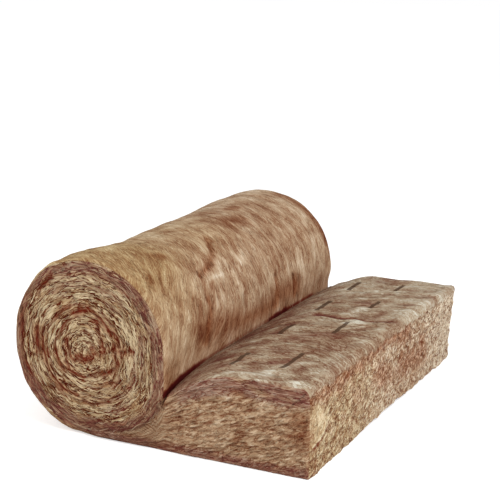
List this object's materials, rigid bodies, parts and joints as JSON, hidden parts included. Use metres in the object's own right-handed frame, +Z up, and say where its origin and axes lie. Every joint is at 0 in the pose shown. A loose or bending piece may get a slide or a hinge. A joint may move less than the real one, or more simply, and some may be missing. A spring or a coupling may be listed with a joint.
{
  "type": "insulation roll",
  "caption": "Partly unrolled roll of brown mineral wool insulation: a wound roll with its spiral turns on the ends and a thick flat end lying on the floor.",
  "frame": {"origin": "on the floor, under the middle of the bounding box", "axes": "+X along the flat end, away from the roll; +Y along the roll's axis, across the blanket; +Z up"},
  "size_m": [1, 1.2, 0.5515],
  "materials": {
    "wool": "matte fibrous mineral wool, tan to red-brown"
  },
  "bodies": {
    "root": {"wool_blanket": "wool"}
  },
  "joints": []
}
